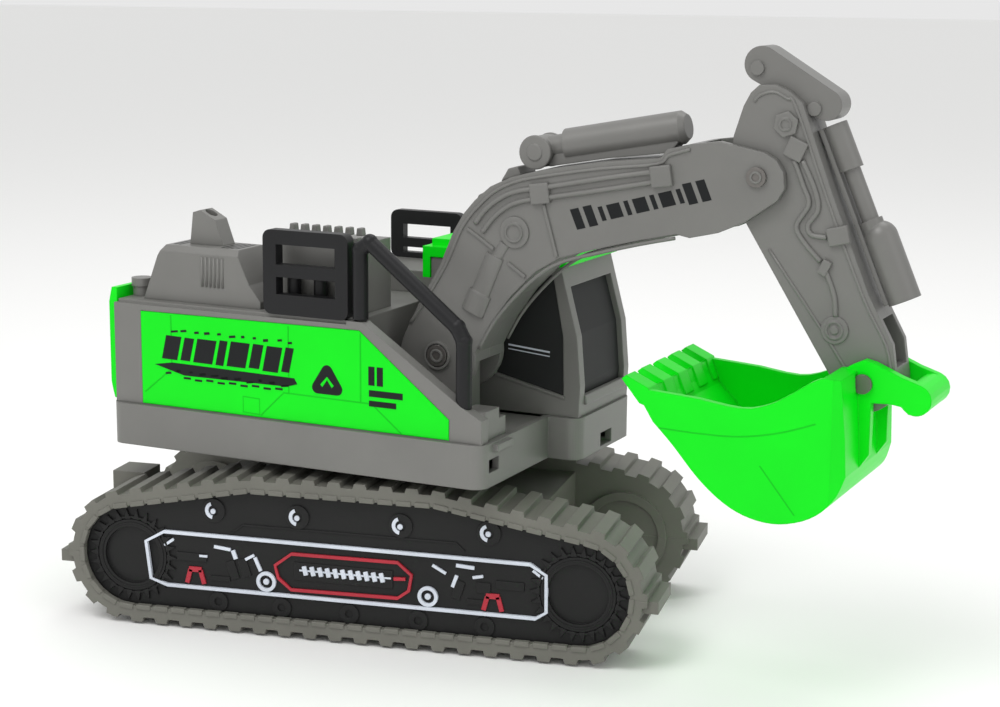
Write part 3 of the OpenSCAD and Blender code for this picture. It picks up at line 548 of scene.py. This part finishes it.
def panel_detail(face, out, side):
    """Painted shade in the grooves, as darker green strips, and plain printed shapes on one green side panel.
    """
    # painted shade: darker green strips along the panel's grooves
    lines = Piece("panel_groove_shade_" + side, "house", GREEN_SHADE, HOUSE)
    y0, y1 = face, face + out * 0.04
    grooves = [[(-50.2, 87.8), (-50.2, 72.4), (-59.6, 64.8)], [(-11.4, 88), (-11.4, 69.4)],
               [(-20.6, 62), (-13, 69.2), (5.6, 68.9)]]
    if side == "right":
        grooves[2] = [(-20.6, 62), (-13, 69.2), (14.8, 68.9), (24, 61.6)]
        grooves.append([(11.4, 88), (11.4, 69)])
    for path in grooves:
        lines.strip(path, 0.4, y0, y1)
    lines.strip([(-26.4, 62.4), (-26.4, 66.8), (-21, 66.6), (-21, 62.2)], 0.35, y0, y1, True)
    lines.done()
    ink = Piece("panel_print_" + side, "house", INK, HOUSE)
    y1 = face + out * 0.06
    # rough-edged block of slanted bars in place of a printed word
    x = -53.5
    for width in (5.2, 3.2, 6.4, 2.6, 6.2, 3.4, 5.0, 2.6):
        top_z = 82 - 0.5 * random.random()
        low_z = 75.2 - 0.6 * random.random()
        ink.prism([(x, low_z), (x + width, low_z - 0.1), (x + width + 1.6, top_z), (x + 1.6, top_z + 0.1)],
                  face, y1)
        x += width + 1.1
    for k in range(22):
        speck_x = -52 + 1.95 * k + random.random()
        speck_z = 83.2 + 0.7 * random.random() if k % 2 else 72 - random.random()
        wide, tall = 1.0 + 1.6 * random.random(), 0.5 + 0.3 * random.random()
        ink.prism(turned((speck_x, speck_z), wide, tall, 8), face, y1)
    smear = [(-56, 73.2), (-50, 74.2), (-9.6, 73.6), (-8.6, 72), (-12, 71), (-46, 70.8), (-51, 72)]
    ink.prism(smear, face, y1)
    for k in range(9):
        ink.prism(turned((-45 + 3.8 * k, 70.1 - 0.3 * (k % 2)), 2.4, 0.6, 0), face, y1)
    if side == "right":
        # rounded triangle, with plain bars beside it
        tri = [polar(c, 1.7, a0 + 24 * k)
               for c, a0 in (((0.9, 76.6), 30), ((-2.2, 71.8), 150), ((4, 71.8), 270)) for k in range(6)]
        ink.prism(tri, face, y1)
        for x in (14.8, 17.4):
            ink.prism(turned((x, 76.6), 1.9, 5.2, 0), face, y1)
        ink.prism(turned((19.2, 71.8), 10.4, 1.8, 0), face, y1)
        ink.prism(turned((18.2, 69), 8.4, 1.6, 0), face, y1)
    ink.done()
    if side == "right":
        # plain chevron on the triangle
        mark = Piece("panel_mark_right", "house", GREEN, HOUSE)
        mark.strip([(-0.9, 72.4), (0.9, 74.6), (2.7, 72.4)], 0.9, face + out * 0.05, face + out * 0.09)
        mark.done()


panel_detail(side_face, -1, "right")
panel_detail(side_far, 1, "left")

# ---------- hood, deck and cab ----------

hood = Piece("hood_ribs", "house", GREY, HOUSE)
for k in range(6):
    x = -42.2 + 1.35 * k
    hood.rod([(x, 96), (x, 104.4)], 0.42, hood_lo.y, sides=8)
hood.done(True)
studs = Piece("radiator_studs", "house", GREY, HOUSE)
radiator_lo, radiator_hi = extent("radiator_box", HOUSE)
stud_foot, stud_top = radiator_hi.z - 0.4, radiator_hi.z + 1.8
for k in range(7):
    x = radiator_lo.x + 3.4 + 3.6 * k
    studs.prism([(x - 1, stud_foot), (x + 1, stud_foot), (x + 0.7, stud_top), (x - 0.7, stud_top)],
                radiator_lo.y + 7, radiator_lo.y + 9.4, 0.3)
studs.done()
grille = Piece("hood_grille", "house", BLACK, HOUSE)
bar_low, bar_top = hood_hi.z - 0.3, hood_hi.z + 0.05
for k in range(14):
    x = -54 + 1.6 * k
    if not -51 < x < -38:
        grille.prism([(x, bar_low), (x + 0.7, bar_low), (x + 0.7, bar_top), (x, bar_top)],
                     hood_lo.y + 3.4, hood_hi.y - 4.4)
grille.done()

cab = Piece("cab_trim", "house", GREY, HOUSE)
for face, out in ((cab_lo.y, -1), (cab_hi.y, 1)):
    cab.strip([(31, 71.4), (53.4, 66.4)], 0.8, face - out * 0.3, face + out * 0.35)
cab.prism([(56.6, 64.2), (58.6, 64.2), (58.2, 67), (56.4, 67)], cab_lo.y + 3.6, cab_hi.y - 3.6, 0.4)
# floor plate in front of the boom's foot, just below the tray's rim
tray_rim = extent("house_tray", HOUSE)[1].z
plate_low, plate_top = tray_rim - 2.4, tray_rim - 0.6
cab.prism([(32.3, plate_low), (46.9, plate_low), (46.9, plate_top), (32.3, plate_top)],
          boom_face - 1.8, cab_lo.y - 0.2)
cab.done()
cab_print = Piece("cab_print", "house", SILVER, HOUSE)
for face, out in ((cab_lo.y + 0.3, -1), (cab_hi.y - 0.3, 1)):
    cab_print.prism(turned((42, 79.6), 13, 0.5, -5), face, face + out * 0.06)
    cab_print.prism(turned((42, 78.4), 13, 0.3, -5), face, face + out * 0.06)
cab_print.done()

# ---------- floor, lights and camera ----------

FLOOR_HALF_WIDTH = 6
WORLD_STRENGTH = 0.8
AIM = Vector((0.03, 0.0, 0.07))
# name, azimuth and elevation in degrees, distance and size in metres, power in watts
LAMPS = (("key", -25, 55, 0.9, 0.5, 3), ("fill", 60, 25, 1.1, 0.7, 0.9), ("top", 160, 70, 0.9, 0.6, 1.8))
CAMERA_AT = Vector((0.17917, -0.54912, 0.18857))
CAMERA_AZIMUTH, CAMERA_DOWN, CAMERA_ROLL = 14.99, 11.14, 0.46
FOCAL_LENGTH, SENSOR_WIDTH = 73.0, 36


def studio():
    """White paper floor, white world and three round lamps."""
    mesh = bpy.data.meshes.new("floor")
    bm = bmesh.new()
    bmesh.ops.create_grid(bm, x_segments=8, y_segments=8, size=FLOOR_HALF_WIDTH)
    bm.to_mesh(mesh)
    bm.free()
    floor = bpy.data.objects.new("floor", mesh)
    bpy.context.scene.collection.objects.link(floor)
    paper = bpy.data.materials.new("studio_paper")
    paper.use_nodes = True
    paper.node_tree.nodes["Principled BSDF"].inputs["Base Color"].default_value = (0.93, 0.93, 0.92, 1)
    paper.node_tree.nodes["Principled BSDF"].inputs["Roughness"].default_value = 0.85
    floor.data.materials.append(paper)
    world = bpy.data.worlds.new("studio")
    world.use_nodes = True
    world.node_tree.nodes["Background"].inputs["Color"].default_value = (1, 1, 1, 1)
    world.node_tree.nodes["Background"].inputs["Strength"].default_value = WORLD_STRENGTH
    bpy.context.scene.world = world
    bpy.context.scene.view_settings.view_transform = "Standard"
    for name, azimuth, elevation, distance, size, power in LAMPS:
        light = bpy.data.lights.new(name, "AREA")
        light.shape = "DISK"
        light.size = size
        light.energy = power
        lamp = bpy.data.objects.new(name, light)
        a, e = math.radians(azimuth), math.radians(elevation)
        lamp.location = AIM + distance * Vector((math.sin(a) * math.cos(e), -math.cos(a) * math.cos(e),
                                                 math.sin(e)))
        lamp.rotation_euler = (AIM - lamp.location).to_track_quat("-Z", "Y").to_euler()
        bpy.context.scene.collection.objects.link(lamp)


def camera():
    """Long lens from the machine's right front, a little above it."""
    azimuth, elevation, roll = (math.radians(v) for v in (CAMERA_AZIMUTH, CAMERA_DOWN, CAMERA_ROLL))
    right = Vector((math.cos(azimuth), math.sin(azimuth), 0))
    ahead = Vector((-math.sin(azimuth) * math.cos(elevation), math.cos(azimuth) * math.cos(elevation),
                    -math.sin(elevation)))
    up = right.cross(ahead)
    c, s = math.cos(roll), math.sin(roll)
    right, up = c * right + s * up, c * up - s * right
    lens = bpy.data.cameras.new("camera")
    lens.sensor_width = SENSOR_WIDTH
    lens.lens = FOCAL_LENGTH
    eye = bpy.data.objects.new("camera", lens)
    turn = Matrix((right, up, -ahead)).transposed()
    eye.matrix_world = Matrix.Translation(CAMERA_AT) @ turn.to_4x4()
    bpy.context.scene.collection.objects.link(eye)
    bpy.context.scene.camera = eye


studio()
camera()
